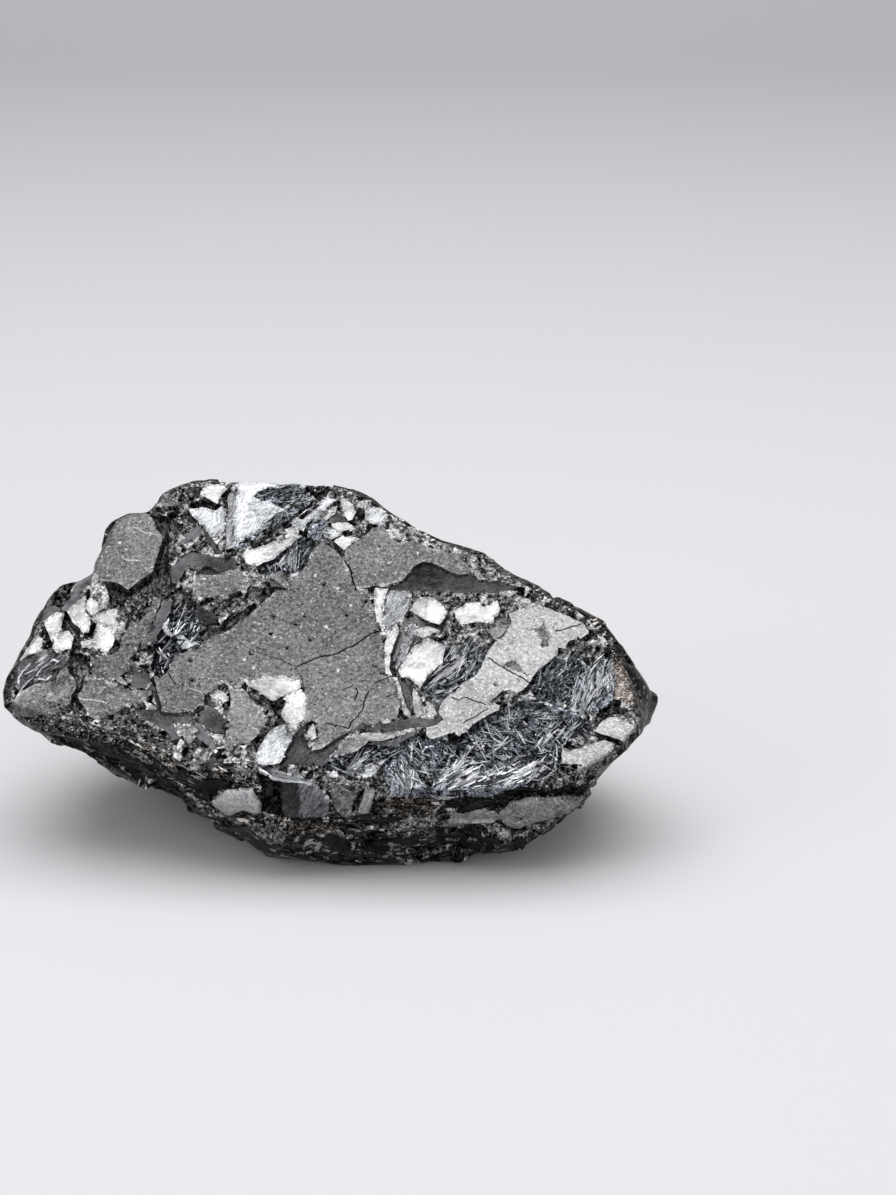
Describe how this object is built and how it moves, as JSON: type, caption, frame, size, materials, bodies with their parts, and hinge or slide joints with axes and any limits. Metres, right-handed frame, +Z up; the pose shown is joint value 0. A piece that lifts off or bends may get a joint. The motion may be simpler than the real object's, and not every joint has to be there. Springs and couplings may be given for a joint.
{
  "type": "specular hematite hand specimen",
  "caption": "Broken piece of massive specular hematite with a broad flat parting face, mirror-bright facets and dark fibrous hollows, resting on a small flat foot.",
  "frame": {"origin": "on the ground, under the middle of the stone's bounding box", "axes": "+Z up, +X along the stone's length, -Y towards the low side of the parting face, which is its front"},
  "size_m": [0.1744, 0.0972, 0.0853],
  "materials": {
    "hematite": "steel-grey metallic lustre, matte on the parting plates and mirror-bright on the fresh facets"
  },
  "bodies": {
    "root": {"hematite_stone": "hematite"}
  },
  "joints": []
}
